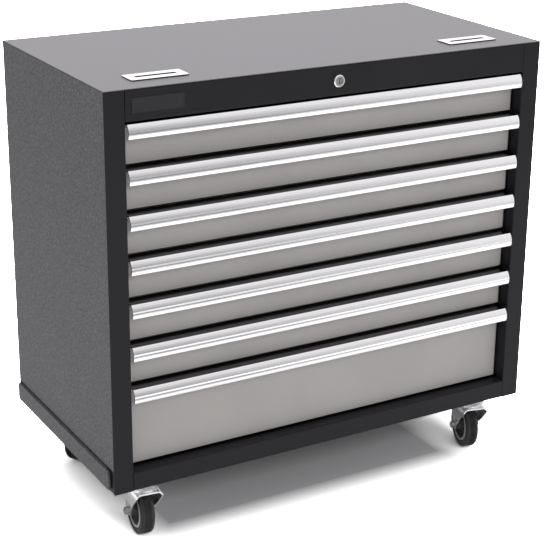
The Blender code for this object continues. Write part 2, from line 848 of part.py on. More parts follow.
def lock_shaft():
    """The long shaft from the plug to the back, ending in a crank with its pin in the lock bar's slot."""
    start = lock_barrel_length + plug_tail + fit_gap
    web_back = back_inner - bar_back_gap - bar_wall - fit_gap
    web_front = web_back - crank_web
    pin_end = back_inner - bar_back_gap
    pin_x = -crank_radius * math.cos(crank_angle)
    pin_z = -crank_radius * math.sin(crank_angle)
    shaft = rod(shaft_radius, "Y", start, web_front + slide_seat, (0.0, 0.0), bolt_facets)
    web = rod(crank_web_radius, "Y", web_front, web_back, (0.0, 0.0), lock_facets)
    pin = rod(crank_pin_radius, "Y", web_back - slide_seat, pin_end, (pin_x, pin_z), bolt_facets)
    return united(shaft, web, pin)


def tyre():
    """The rubber tyre: a flat tread with round shoulders. Half a facet of phase lays a flat on the floor."""
    half = wheel_width / 2
    shoulder_low = wheel_radius - tyre_shoulder
    shoulder = corner_arc((half - tyre_shoulder, shoulder_low), tyre_shoulder, 0, 90, bend_facets)[1:]
    profile = [(tyre_inner_radius, -hub_rim_width / 2), (shoulder_low, -half)]
    profile += [(r, -x) for x, r in shoulder]
    profile += [(r, x) for x, r in reversed(shoulder)]
    profile += [(shoulder_low, half), (tyre_inner_radius, hub_rim_width / 2)]
    return turned(profile, "X", wheel_facets, math.pi / wheel_facets)


def hub():
    """The wheel's hub: rim, dished web and barrel, bored for the axle."""
    rim = tyre_inner_radius - tyre_bead_gap
    rim_inner = rim - hub_rim_wall
    bore = axle_radius + axle_gap
    half_rim, half_web, half_barrel = hub_rim_width / 2, hub_web / 2, hub_barrel_width / 2
    profile = [
        (bore, -half_barrel), (hub_barrel_radius, -half_barrel), (hub_barrel_radius, -half_web),
        (rim_inner, -half_web), (rim_inner, -half_rim), (rim, -half_rim),
        (rim, half_rim), (rim_inner, half_rim), (rim_inner, half_web),
        (hub_barrel_radius, half_web), (hub_barrel_radius, half_barrel), (bore, half_barrel),
    ]
    return turned(profile, "X", wheel_facets, math.pi / wheel_facets)


def fork_sizes():
    """Inner half width, outer half width, crown underside and crown top, the heights above the floor."""
    inner = hub_barrel_width / 2 + fork_side_gap
    crown_low = wheel_axle_height + wheel_radius + fork_crown_gap
    return inner, inner + fork_wall, crown_low, crown_low + fork_wall


def fork():
    """The pressed fork: an arched channel trimmed to its side outline, with the lower race on its crown."""
    inner, outer, crown_low, crown_top = fork_sizes()
    wide = outer + fork_crown_spread
    low_bend = wheel_axle_height + fork_spread_low
    high_bend = wheel_axle_height + fork_spread_high
    half = [(outer, 0.0), (outer, low_bend), (wide, high_bend), (wide, crown_top)]
    path = [(-x, z) for x, z in half] + list(reversed(half))
    arch = prism(folded_outline(path, fork_wall, fork_corner, arc_facets), "Y",
                 -caster_trail - 2 * fork_leg_end, fork_crown_lead + cut_overrun)
    fall = Vector((-caster_trail - fork_crown_lead, wheel_axle_height - crown_top))
    edge = [(fork_crown_lead + a * fall.x, crown_top + b * fall.y) for a, b in fork_edge_shares]
    boss = corner_arc((-caster_trail, wheel_axle_height), fork_leg_end, -35, -180, 2 * arc_facets)
    outline = [(fork_crown_lead, crown_top + cut_overrun), *edge, *boss,
               (-caster_trail - fork_leg_end, crown_top + cut_overrun)]
    trimmed = combined(arch, [prism(outline, "X", -2 * outer, 2 * outer)], "INTERSECT")
    race = turned([(0.0, crown_top - fork_wall / 2), (fork_race_radius, crown_top - fork_wall / 2),
                   (fork_race_radius, crown_top + fork_race_height / 2),
                   (race_neck_radius, crown_top + fork_race_height), (0.0, crown_top + fork_race_height)],
                  "Z", lock_facets)
    pin_hole = rod(king_pin_radius + king_pin_gap, "Z", crown_low - cut_overrun,
                   crown_top + fork_race_height + cut_overrun)
    axle_hole = rod(axle_radius + axle_gap, "X", -2 * outer, 2 * outer, (-caster_trail, wheel_axle_height))
    return cut(united(trimmed, race), pin_hole, axle_hole)


def caster_plate():
    """The fixed top plate with its bolt slots, upper ball race and riveted king pin."""
    inner, outer, crown_low, crown_top = fork_sizes()
    top = plate_top_z
    bottom = top - plate_wall
    low, high = (-plate_length / 2, -plate_depth / 2), (plate_length / 2, plate_depth / 2)
    plate = prism(rounded_rectangle(low, high, (plate_corner,) * 4, bend_facets), "Z", bottom, top)
    race_low = crown_top + fork_race_height + race_gap
    head_top = crown_low - race_gap
    stem = turned([
        (0.0, head_top - king_head_height), (king_head_radius, head_top - king_head_height),
        (king_head_radius, head_top), (king_pin_radius, head_top), (king_pin_radius, race_low),
        (race_neck_radius, race_low), (race_radius, (race_low + bottom) / 2),
        (race_radius, bottom + slide_seat), (0.0, bottom + slide_seat),
    ], "Z", lock_facets)
    slots = []
    for sx in (-1, 1):
        for sy in (-1, 1):
            x = sx * (plate_length / 2 - plate_slot_inset)
            y = sy * (plate_depth / 2 - plate_slot_inset)
            half_l, half_w = plate_slot_length / 2, plate_slot_width / 2
            outline = rounded_rectangle((x - half_l, y - half_w), (x + half_l, y + half_w),
                                        (half_w,) * 4, bend_facets)
            slots.append(prism(outline, "Z", bottom - cut_overrun, top + cut_overrun))
    return united(cut(plate, *slots), stem)


def axle():
    """The axle bolt: round shank, hexagon head on the left and nut on the right."""
    inner, outer, crown_low, crown_top = fork_sizes()
    head_radius = axle_head_across / 2 / math.cos(math.pi / 6)
    face = outer + fit_gap
    shank = rod(axle_radius, "X", -face - slide_seat, face + axle_nut_height + axle_end)
    head = rod(head_radius, "X", -face - axle_head_height, -face, (0.0, 0.0), 6)
    nut = rod(head_radius, "X", face, face + axle_nut_height, (0.0, 0.0), 6)
    return united(shank, head, nut)


def build_case(case):
    place("left_side_panel", mirrored_x(side_panel()), "textured_grey", parent=case)
    place("right_side_panel", side_panel(), "textured_grey", parent=case)
    place("top_panel", top_panel(), "textured_grey", parent=case)
    place("back_panel", back_panel(), "textured_grey", parent=case)
    place("base_tray", base_tray(), "black_paint", parent=case)
    place("left_front_post", mirrored_x(front_post()), "black_paint", parent=case)
    place("right_front_post", front_post(), "black_paint", parent=case)
    place("top_rail", top_rail(), "black_paint", parent=case)
    place("bottom_rail", bottom_rail(), "black_paint", parent=case)
    place("left_base_strip", mirrored_x(base_strip()), "textured_grey", parent=case)
    place("right_base_strip", base_strip(), "textured_grey", parent=case)
    place("left_slot_plate", slot_plate(-slot_plate_x), "chrome", parent=case)
    place("right_slot_plate", slot_plate(slot_plate_x), "chrome", parent=case)
    place("left_runner_panel", mirrored_x(runner_panel()), "zinc", parent=case)
    place("right_runner_panel", runner_panel(), "zinc", parent=case)


def build_lock(case):
    turning = axis_group("lock_turn", (0.0, 0.0, lock_z), parent=case)
    lifting = axis_group("lock_lift", (0.0, 0.0, 0.0), parent=case)
    place("lock_housing", lock_housing(), "chrome", (0.0, 0.0, lock_z), case, True)
    place("lock_plug", lock_plug(), "chrome", parent=turning, round_piece=True)
    place("lock_shaft", lock_shaft(), "steel", parent=turning, round_piece=True)
    place("lock_bar", lock_bar(), "zinc", parent=lifting)


def build_drawers(case):
    handle = drawer_handle()
    for number, cell in enumerate(drawer_cells(), 1):
        slide = axis_group(f"drawer_{number}_slide", (0.0, 0.0, cell[1] - drawer_reveal), parent=case)
        place(f"drawer_{number}_tray", drawer_tray(cell), "grey_paint", parent=slide)
        place(f"drawer_{number}_front", drawer_front(cell), "grey_paint", parent=slide)
        place(f"drawer_{number}_handle", handle, "bright_aluminium", parent=slide)


def build_casters(case_y):
    shapes = {
        "plate": (caster_plate(), "zinc"),
        "fork": (fork(), "zinc"),
        "hub": (hub(), "hub_plastic"),
        "tyre": (tyre(), "rubber"),
        "axle": (axle(), "steel"),
    }
    for spot, heading in caster_headings.items():
        x = caster_x if spot.endswith("right") else -caster_x
        y = case_y + (caster_y if spot.startswith("front") else body_depth - caster_back_y)
        swivel = axis_group(f"caster_{spot}_swivel", (x, y, 0.0), heading)
        wheel = axis_group(f"caster_{spot}_spin", (0.0, -caster_trail, wheel_axle_height), parent=swivel)
        place(f"caster_{spot}_plate", shapes["plate"][0], shapes["plate"][1], (x, y, 0.0), None, True)
        place(f"caster_{spot}_fork", shapes["fork"][0], shapes["fork"][1], parent=swivel, round_piece=True)
        for piece in ("hub", "tyre", "axle"):
            mesh, finish_name = shapes[piece]
            place(f"caster_{spot}_{piece}", mesh, finish_name, parent=wheel, round_piece=True)


clear_scene()
handle_front = -min(y for y, z in handle_outline())
case_front_y = (handle_front - body_depth) / 2
cabinet = axis_group("cabinet_case", (0.0, case_front_y, ground_clearance))
build_case(cabinet)
build_lock(cabinet)
build_drawers(cabinet)
build_casters(case_front_y)
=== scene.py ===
"""The looks of the workshop drawer cabinet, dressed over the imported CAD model.

Metres, +Z up, front towards -Y, in the CAD model's own frame. Places come from the frame's boxes.
"""

import json
import math

import bmesh
import bpy
from mathutils import Matrix, Vector


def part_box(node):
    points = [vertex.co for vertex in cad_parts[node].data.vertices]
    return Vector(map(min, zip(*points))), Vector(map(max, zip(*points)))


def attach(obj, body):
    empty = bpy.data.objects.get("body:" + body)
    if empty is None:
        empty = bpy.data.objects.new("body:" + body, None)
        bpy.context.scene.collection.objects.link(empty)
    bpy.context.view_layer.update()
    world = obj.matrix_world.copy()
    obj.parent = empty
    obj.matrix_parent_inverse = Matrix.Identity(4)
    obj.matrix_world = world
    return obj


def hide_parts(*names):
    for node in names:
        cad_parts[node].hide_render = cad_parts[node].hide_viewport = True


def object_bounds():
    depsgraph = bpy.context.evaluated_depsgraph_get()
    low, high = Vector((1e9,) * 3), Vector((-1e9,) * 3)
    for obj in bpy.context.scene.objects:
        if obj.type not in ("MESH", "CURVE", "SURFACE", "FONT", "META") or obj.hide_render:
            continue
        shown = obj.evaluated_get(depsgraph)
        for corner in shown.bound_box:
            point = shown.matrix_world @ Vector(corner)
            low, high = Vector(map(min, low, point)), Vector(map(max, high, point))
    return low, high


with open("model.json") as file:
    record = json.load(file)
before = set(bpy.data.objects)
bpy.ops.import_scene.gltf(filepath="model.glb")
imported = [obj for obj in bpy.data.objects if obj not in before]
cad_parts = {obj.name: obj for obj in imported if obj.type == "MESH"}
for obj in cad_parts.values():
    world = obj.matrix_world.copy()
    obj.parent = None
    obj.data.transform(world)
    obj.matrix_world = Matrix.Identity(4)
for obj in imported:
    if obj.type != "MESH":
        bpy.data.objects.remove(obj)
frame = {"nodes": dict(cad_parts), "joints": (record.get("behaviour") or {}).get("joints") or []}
cad_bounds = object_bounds()
nodes = frame["nodes"]

# Colours, in the linear values that Blender's colour sockets take
side_dark = (0.040, 0.038, 0.042)
side_grey = (0.092, 0.089, 0.096)
side_light = (0.200, 0.192, 0.207)
# The top's colours: the sides' coat with painted light, lighter as if lit from above
top_lit_dark = (0.158, 0.150, 0.163)
top_lit_light = (0.188, 0.179, 0.194)
frame_black = (0.0125, 0.0114, 0.0140)
frame_sheen = (0.0155, 0.0142, 0.0172)
# Painted shade: a blacker black for the base tray, so the groove above the base strips reads as shadow
groove_shade_black = (0.0050, 0.0045, 0.0055)
groove_shade_sheen = (0.0080, 0.0072, 0.0085)
panel_grey = (0.425, 0.402, 0.393)
panel_shade = (0.392, 0.371, 0.363)
# Painted highlight on the drawer fronts' bent foot and ends
panel_bend_highlight = (0.760, 0.740, 0.730)
rail_bright = (0.950, 0.935, 0.955)
rail_dull = (0.700, 0.690, 0.705)
rail_shaded = (0.300, 0.290, 0.305)
# Painted shade on the handle rails' top flange and cut ends
rail_painted_shade = (0.130, 0.126, 0.132)
zinc_bright = (0.930, 0.935, 0.945)
zinc_dull = (0.620, 0.625, 0.640)
chrome_bright = (0.960, 0.955, 0.965)
chrome_shade = (0.820, 0.815, 0.825)
# Painted shade on the slot plates' upright edges
chrome_edge_shade = (0.030, 0.029, 0.031)
lock_dark = (0.060, 0.057, 0.056)
lock_grey = (0.330, 0.315, 0.305)
steel_grey = (0.520, 0.520, 0.530)
steel_dull = (0.380, 0.380, 0.390)
rubber_black = (0.0095, 0.0090, 0.0105)
rubber_worn = (0.0190, 0.0185, 0.0200)
hub_grey = (0.130, 0.122, 0.126)
hub_shade = (0.095, 0.090, 0.093)
ring_pale = (0.800, 0.805, 0.800)
ring_shade = (0.660, 0.665, 0.660)
plate_black = (0.0125, 0.0112, 0.0140)
plate_sheen = (0.0150, 0.0136, 0.0165)
floor_white = (0.850, 0.850, 0.855)
floor_mirrored = (1.250, 1.250, 1.255)
# Painted shadow: the floor's colour to the camera near the cabinet's foot, and away from it
floor_seen_shadow = (0.760, 0.750, 0.770)
floor_seen_far = (9.000, 8.990, 9.005)

# The shaded line above the rail's lip by height, and how it fades along the rail
rail_line_shares = ((0.20, 0.0), (0.30, 1.0), (0.36, 0.9), (0.47, 0.25), (0.80, 0.0))
rail_fade_shares = (0.25, 1.05)

# Painted shadow: the floor seen darker near the cabinet's foot, whitening from this far inside its sides and
# front, over this distance
floor_shadow_insets = (0.15, 0.08)
floor_shadow_fade = 0.22
floor_half_size = 12.0

# Surface detail
speckle_size = 0.0042
peel_size = 0.0018
grain_size = 0.0006
brush_size = 0.0007
smear_size = 0.012
cloud_size = 0.160

# How far the zinc's spangle and the rail's drawn streaks change the colour
spangle_share = 0.6
spangle_reach = 0.8
streak_share = 0.35

# The lock's finish, and the depths between which painted shade darkens its keyway and the ring's foot
lock_smear_size = smear_size / 6
lock_wear_share = 0.25
lock_ring_roughness = 0.12
lock_plug_roughness = 0.20
lock_roughness_span = 0.08
keyway_shade_depths = (0.0022, 0.0030)

# How strongly each paint and moulding mirrors
grey_specular = 0.35
panel_specular = 0.4
black_specular = 0.16
pit_specular = 0.15
hub_specular = 0.5
label_specular = 0.3

# Roughness of each coat, from its smoothest spots to its dullest
textured_roughness = (0.50, 0.68)
top_roughness = (0.42, 0.52)
black_roughness = (0.36, 0.44)
panel_roughness = (0.38, 0.46)
rail_roughness = (0.17, 0.23)
zinc_roughness = (0.22, 0.34)
chrome_roughness = (0.10, 0.18)
steel_roughness = (0.28, 0.38)
rubber_roughness = (0.36, 0.50)
hub_roughness = (0.34, 0.46)
ring_roughness = (0.30, 0.42)
label_roughness = (0.26, 0.32)

# Relief of each coat: its strength and its depth
textured_relief = (0.45, 0.0005)
top_relief = (0.10, 0.0002)
black_relief = (0.05, 0.0002)
panel_relief = (0.04, 0.0002)
rail_relief = (0.06, 0.00008)
zinc_relief = (0.06, 0.0001)
steel_relief = (0.06, 0.0001)
rubber_relief = (0.10, 0.0001)
moulded_relief = (0.05, 0.0001)

# Slopes between which a face counts as turned along an axis, so that its painted highlight or painted shade
# changes
foot_slopes = (-0.20, -0.55)
end_slopes = (0.30, 0.70)
shaded_top_slopes = (0.90, 0.98)
shaded_end_slopes = (0.80, 0.95)
plate_edge_slopes = (0.50, 0.90)

# The pieces that this script adds: their sizes, and how they are meshed
label_length = 0.098
label_height = 0.026
label_wall = 0.0008
label_inset = 0.012
label_corner = 0.0015
label_edge_share = 0.3
corner_steps = 6
sharp_degrees = 60.0
smooth_degrees = 35.0
merge_distance = 1e-6
tread_grooves = 4
tread_groove_width = 0.0017
tread_groove_depth = 0.0014
tyre_facets = 96
shoulder_steps = 6
hub_spokes = 8
ring_width = 0.0028
ring_proud = 0.0006
ring_soft = ring_proud / 3
ring_sunk = ring_proud * 4
ring_tuck_share = 0.35
skin_gap = 0.0004
label_gap = skin_gap / 4
drawer_count = 7

# The tyre: shoulder and bore as shares of its radius, lip of its half width, groove floor of the groove
shoulder_share = 0.125
bore_share = 0.663
lip_share = 0.83
groove_floor_share = 0.6

# The hub: barrel, bore and half a rib's width as shares of the wheel's radius
barrel_share = 0.225
axle_share = 0.088
rib_share = 0.022

# Half widths of the hub as shares of the tyre's half width
rim_half_share = 0.86
web_half_share = 0.25
barrel_half_share = 1.39

# The rim's foot and top as shares of its radius
rim_foot_share = 0.84
rim_top_share = 0.90

# The barrel's neck and foot as shares of its radius, and the neck's height as a share of the web
neck_share = 1.06
neck_web_share = 1.4
barrel_foot_share = 1.3

# A rib: its start on the barrel, its foot in the web, its height to the rim, and what is left at its far end
rib_start_share = 0.95
rib_foot_share = 0.5
rib_height_share = 0.78
rib_far_width_share = 0.7
rib_far_height_share = 0.8

# The room's light on the paint, by height above the horizon from level to overhead
room_light_shares = ((0.0, 0.20), (0.10, 0.14), (0.42, 0.16), (0.62, 0.50), (1.0, 0.65))

# The room as metal and sheen mirror it: by height, then a pale window to the right and a backdrop behind
room_mirrored_shares = ((0.0, 0.34), (0.15, 0.40), (0.40, 0.56), (0.75, 0.85), (1.0, 0.95))
window_mirrored = 1.00
window_edge_shares = (0.38, 0.66)
backdrop_mirrored = 1.25
backdrop_edge_shares = (0.05, 0.45)

# Soft boxes: place, size and power
lamps = {
    "front": ((0.4, -3.4, 2.1), (2.6, 1.2), 53.0),
    "left": ((-3.2, -0.2, 1.5), (1.6, 1.6), 9.0),
    "overhead": ((-0.1, 0.25, 3.6), (2.2, 1.1), 66.0),
}

# The photograph's camera
picture_width = 550
picture_height = 544
focal_pixels = 1534.50
centre_x_pixels = 301.60
centre_y_pixels = 260.33
sensor_millimetres = 36.0
camera_reach = 100.0
camera_place_shares = (-1.57535, -2.48918, 1.46786)
camera_turn = (1.86794, -0.50218, 0.37411)


def span(node, axis):
    """Lowest and highest place of a CAD node along an axis."""
    low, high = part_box(node)
    return low[axis], high[axis]


class Tree:
    """A node tree, filled in by short calls."""

    def __init__(self, tree):
        self.tree = tree

    def add(self, kind, **settings):
        node = self.tree.nodes.new(kind)
        for key, value in settings.items():
            setattr(node, key, value)
        return node

    def feed(self, socket, source):
        """A socket gets a link from a node's output, or a value of its own."""
        if isinstance(source, bpy.types.NodeSocket):
            self.tree.links.new(source, socket)
        elif isinstance(source, tuple):
            socket.default_value = (*source, 1.0)
        else:
            socket.default_value = source

    def maths(self, operation, first, second=0.0):
        node = self.add("ShaderNodeMath", operation=operation)
        self.feed(node.inputs[0], first)
        self.feed(node.inputs[1], second)
        return node.outputs[0]

    def axis(self, vector, letter):
        """A vector's X, Y or Z."""
        split = self.add("ShaderNodeSeparateXYZ")
        self.feed(split.inputs["Vector"], vector)
        return split.outputs[letter]

    def ramp(self, value, stops):
        """A colour ramp through (position, colour) stops."""
        ramp = self.add("ShaderNodeValToRGB")
        elements = ramp.color_ramp.elements
        while len(elements) < len(stops):
            elements.new(1.0)
        for element, (position, colour) in zip(elements, stops):
            element.position = position
            element.color = (*colour, 1.0)
        self.feed(ramp.inputs["Fac"], value)
        return ramp.outputs["Color"]

    def spread(self, value, low, high, from_low=0.3, from_high=0.7):
        """The value carried from one range to another."""
        change = self.add("ShaderNodeMapRange")
        self.feed(change.inputs["Value"], value)
        self.feed(change.inputs["From Min"], from_low)
        self.feed(change.inputs["From Max"], from_high)
        self.feed(change.inputs["To Min"], low)
        self.feed(change.inputs["To Max"], high)
        return change.outputs["Result"]

    def mixed(self, share, first, second):
        mix = self.add("ShaderNodeMix", data_type="RGBA")
        self.feed(mix.inputs["Factor"], share)
        self.feed(mix.inputs[6], first)
        self.feed(mix.inputs[7], second)
        return mix.outputs[2]


class Coat(Tree):
    """A material with procedural colour, roughness and relief."""

    def __init__(self, name, metal=0.0, specular=0.5):
        self.material = bpy.data.materials.new(name)
        self.material.use_nodes = True
        super().__init__(self.material.node_tree)
        self.shader = self.tree.nodes["Principled BSDF"]
        self.feed(self.shader.inputs["Metallic"], metal)
        self.feed(self.shader.inputs["Specular IOR Level"], specular)
        places = self.add("ShaderNodeTexCoord")
        self.place = places.outputs["Object"]
        self.share = places.outputs["Generated"]
        self.geometry = self.add("ShaderNodeNewGeometry")

    def noise(self, size, detail=2.0, stretch=(1.0, 1.0, 1.0), rough=0.5):
        mapping = self.add("ShaderNodeMapping")
        mapping.inputs["Scale"].default_value = stretch
        self.feed(mapping.inputs["Vector"], self.place)
        texture = self.add("ShaderNodeTexNoise")
        self.feed(texture.inputs["Scale"], 1.0 / size)
        self.feed(texture.inputs["Detail"], detail)
        self.feed(texture.inputs["Roughness"], rough)
        self.feed(texture.inputs["Vector"], mapping.outputs["Vector"])
        return texture.outputs["Fac"]

    def facing(self, letter, start, end):
        """How far the surface faces along an axis: 0 up to the start's slope and 1 from the end's."""
        slope = self.axis(self.geometry.outputs["Normal"], letter)
        return self.spread(slope, 0.0, 1.0, start, end)

    def facing_either(self, letter, start, end):
        slope = self.maths("ABSOLUTE", self.axis(self.geometry.outputs["Normal"], letter))
        return self.spread(slope, 0.0, 1.0, start, end)

    def colour(self, source):
        self.feed(self.shader.inputs["Base Color"], source)

    def roughness(self, source):
        self.feed(self.shader.inputs["Roughness"], source)

    def bump(self, value, strength, distance):
        bump = self.add("ShaderNodeBump")
        self.feed(bump.inputs["Strength"], strength)
        self.feed(bump.inputs["Distance"], distance)
        self.feed(bump.inputs["Height"], value)
        self.feed(self.shader.inputs["Normal"], bump.outputs["Normal"])


def textured_paint():
    """Dark grey powder coat: grains of light and dark, like fine hammer finish."""
    coat = Coat("textured_paint", specular=grey_specular)
    grains = coat.noise(speckle_size, 3.0, rough=0.75)
    coat.colour(coat.ramp(grains, [(0.36, side_dark), (0.50, side_grey), (0.66, side_light)]))
    coat.roughness(coat.spread(grains, *textured_roughness))
    coat.bump(grains, *textured_relief)
    return coat.material


def top_paint_lit():
    """The top sheet: the sides' grey coat, smoother, with painted light that makes it lighter, as if lit from
    above.
    """
    coat = Coat("top_paint_lit", specular=grey_specular)
    grains = coat.noise(speckle_size, 2.0, rough=0.6)
    coat.colour(coat.ramp(grains, [(0.35, top_lit_dark), (0.65, top_lit_light)]))
    coat.roughness(coat.spread(grains, *top_roughness))
    coat.bump(grains, *top_relief)
    return coat.material


def sprayed_black(name, base, sheen, specular):
    """Satin black paint with the faint orange peel of a sprayed coat."""
    coat = Coat(name, specular=specular)
    cloud = coat.noise(cloud_size, 2.0)
    coat.colour(coat.ramp(cloud, [(0.3, base), (0.7, sheen)]))
    coat.roughness(coat.spread(cloud, *black_roughness))
    coat.bump(coat.noise(peel_size, 1.0), *black_relief)
    return coat.material


def panel_paint():
    """Warm light grey paint, with a painted highlight at the sheet's bent foot and ends."""
    coat = Coat("panel_paint", specular=panel_specular)
    flat = coat.ramp(coat.noise(cloud_size, 2.0), [(0.3, panel_shade), (0.6, panel_grey)])
    # Painted highlight on the faces turned down and sideways
    bend_highlight = coat.maths("MAXIMUM", coat.facing("Z", *foot_slopes), coat.facing_either("X", *end_slopes))
    coat.colour(coat.mixed(bend_highlight, flat, panel_bend_highlight))
    grain = coat.noise(peel_size, 2.0)
    coat.roughness(coat.spread(grain, *panel_roughness))
    coat.bump(grain, *panel_relief)
    return coat.material


def drawn_rail():
    """Aluminium drawn along its length, bright on the face, with painted shade on the cut ends and the hidden
    top.
    """
    coat = Coat("drawn_aluminium", metal=1.0)
    streaks = coat.noise(brush_size, 3.0, (0.01, 1.0, 1.0))
    line = coat.ramp(coat.axis(coat.share, "Z"), [(place, (level,) * 3) for place, level in rail_line_shares])
    fade = coat.spread(coat.axis(coat.share, "X"), 1.0, 0.0, *rail_fade_shares)
    bright = coat.mixed(coat.maths("MULTIPLY", line, fade), rail_bright, rail_shaded)
    face = coat.mixed(coat.spread(streaks, 0.0, streak_share), bright, rail_dull)
    # Painted shade on the top flange and the cut ends
    top = coat.facing("Z", *shaded_top_slopes)
    shaded_faces = coat.maths("MAXIMUM", top, coat.facing_either("X", *shaded_end_slopes))
    coat.colour(coat.mixed(shaded_faces, face, rail_painted_shade))
    coat.roughness(coat.spread(streaks, *rail_roughness))
    coat.bump(streaks, *rail_relief)
    return coat.material


def zinc_plating():
    """Bright zinc with its faint spangle."""
    coat = Coat("zinc_plating", metal=1.0)
    cells = coat.add("ShaderNodeTexVoronoi")
    coat.feed(cells.inputs["Scale"], 1.0 / smear_size)
    coat.feed(cells.inputs["Vector"], coat.place)
    spangle = coat.spread(cells.outputs["Distance"], 0.0, spangle_share, 0.0, spangle_reach)
    coat.colour(coat.mixed(spangle, zinc_bright, zinc_dull))
    grain = coat.noise(grain_size, 2.0)
    coat.roughness(coat.spread(grain, *zinc_roughness))
    coat.bump(grain, *zinc_relief)
    return coat.material


def chrome_plating():
    """Polished chrome on the flat of the slot plates, with painted shade on their edges that turn down."""
    coat = Coat("chrome_plating", metal=1.0)
    smear = coat.noise(smear_size, 3.0)
    flat = coat.ramp(smear, [(0.35, chrome_shade), (0.60, chrome_bright)])
    coat.colour(coat.mixed(coat.facing_either("Z", *plate_edge_slopes), chrome_edge_shade, flat))
    coat.roughness(coat.spread(smear, *chrome_roughness))
    return coat.material


def lock_metal(name, stops, roughness):
    """Turned metal: rings of their own shade round the lock's axis, with painted shade inside the keyway and
    round the ring's foot.
    """
    coat = Coat(name, metal=1.0)
    low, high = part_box("lock_housing")
    spot = coat.geometry.outputs["Position"]
    across = coat.maths("SUBTRACT", coat.axis(spot, "X"), (low[0] + high[0]) / 2)
    up = coat.maths("SUBTRACT", coat.axis(spot, "Z"), (low[2] + high[2]) / 2)
    squares = coat.maths("ADD", coat.maths("POWER", across, 2.0), coat.maths("POWER", up, 2.0))
    off_axis = coat.maths("SQRT", squares)
    share = coat.maths("DIVIDE", off_axis, (high[0] - low[0]) / 2)
    turned = coat.ramp(share, stops)
    depth = coat.maths("SUBTRACT", coat.axis(spot, "Y"), low[1])
    cloud = coat.mixed(coat.noise(lock_smear_size, 2.0), turned, lock_dark)
    worn = coat.mixed(lock_wear_share, turned, cloud)
    # Painted shade: darker past these depths, in the keyway and round the ring's foot
    coat.colour(coat.mixed(coat.spread(depth, 0.0, 1.0, *keyway_shade_depths), worn, lock_dark))
    coat.roughness(coat.spread(coat.noise(grain_size, 2.0), roughness, roughness + lock_roughness_span))
    return coat.material


def brushed_steel():
    coat = Coat("bright_steel", metal=1.0)
    streaks = coat.noise(brush_size, 3.0)
    coat.colour(coat.mixed(coat.spread(streaks, 0.0, 1.0), steel_grey, steel_dull))
    coat.roughness(coat.spread(streaks, *steel_roughness))
    coat.bump(streaks, *steel_relief)
    return coat.material


def tyre_rubber():
    """Black rubber, a little greyer and rougher where it has rolled."""
    coat = Coat("tyre_rubber")
    worn = coat.noise(smear_size, 4.0, rough=0.65)
    coat.colour(coat.ramp(worn, [(0.40, rubber_black), (0.72, rubber_worn)]))
    coat.roughness(coat.spread(worn, *rubber_roughness))
    coat.bump(coat.noise(grain_size, 2.0), *rubber_relief)
    return coat.material


def moulded(name, shade, colour, roughness, specular):
    """Moulded plastic with a fine grain and a slight change of tone."""
    coat = Coat(name, specular=specular)
    coat.colour(coat.ramp(coat.noise(smear_size, 2.0), [(0.35, shade), (0.65, colour)]))
    grain = coat.noise(grain_size, 2.0)
    coat.roughness(coat.spread(grain, *roughness))
    coat.bump(grain, *moulded_relief)
    return coat.material


def floor_paint():
    """White studio floor: whiter to the camera and in reflections than to the light it sends back, with the
    object's shadow kept and a painted shadow, darker to the camera near the cabinet's foot."""
    coat = Coat("studio_floor")
    path = coat.add("ShaderNodeLightPath")
    mirrored = coat.maths("MAXIMUM", path.outputs["Is Glossy Ray"], path.outputs["Is Transmission Ray"])
    sent_back = coat.mixed(mirrored, floor_white, floor_mirrored)
    plain = coat.add("ShaderNodeBsdfDiffuse")
    spot = coat.geometry.outputs["Position"]
    beyond = []
    for axis, letter in enumerate("XY"):
        low, high = cad_bounds[0][axis], cad_bounds[1][axis]
        off = coat.maths("SUBTRACT", coat.axis(spot, letter), (low + high) / 2)
        outside = coat.maths("SUBTRACT", coat.maths("ABSOLUTE", off), (high - low) / 2 - floor_shadow_insets[axis])
        beyond.append(coat.maths("POWER", coat.maths("MAXIMUM", outside, 0.0), 2.0))
    away = coat.maths("SQRT", coat.maths("ADD", *beyond))
    # Painted shadow: darker to the camera near the cabinet's foot, whiter away from it
    seen = coat.mixed(coat.spread(away, 0.0, 1.0, 0.0, floor_shadow_fade), floor_seen_shadow, floor_seen_far)
    coat.feed(plain.inputs["Color"], coat.mixed(path.outputs["Is Camera Ray"], sent_back, seen))
    output = next(node for node in coat.tree.nodes if node.type == "OUTPUT_MATERIAL")
    coat.feed(output.inputs["Surface"], plain.outputs["BSDF"])
    return coat.material


coats = {
    "textured": textured_paint(),
    "top": top_paint_lit(),
    "black": sprayed_black("smooth_black", frame_black, frame_sheen, black_specular),
    "pit": sprayed_black("shaded_black", groove_shade_black, groove_shade_sheen, pit_specular),
    "panel": panel_paint(),
    "rail": drawn_rail(),
    "zinc": zinc_plating(),
    "chrome": chrome_plating(),
    "lock_ring": lock_metal("lock_ring", [(0.70, lock_grey), (0.80, chrome_bright)], lock_ring_roughness),
    "lock_plug": lock_metal("lock_plug", [(0.30, lock_grey), (0.46, lock_dark)], lock_plug_roughness),
    "steel": brushed_steel(),
    "rubber": tyre_rubber(),
    "hub": moulded("hub_plastic", hub_shade, hub_grey, hub_roughness, hub_specular),
    "ring": moulded("ring_plastic", ring_shade, ring_pale, ring_roughness, hub_specular),
    "label": moulded("plate_plastic", plate_black, plate_sheen, label_roughness, label_specular),
}


def dress(name, coat):
    """A CAD node keeps its shape and gets a finished material."""
    mesh = nodes[name].data
    mesh.materials.clear()
    mesh.materials.append(coats[coat])


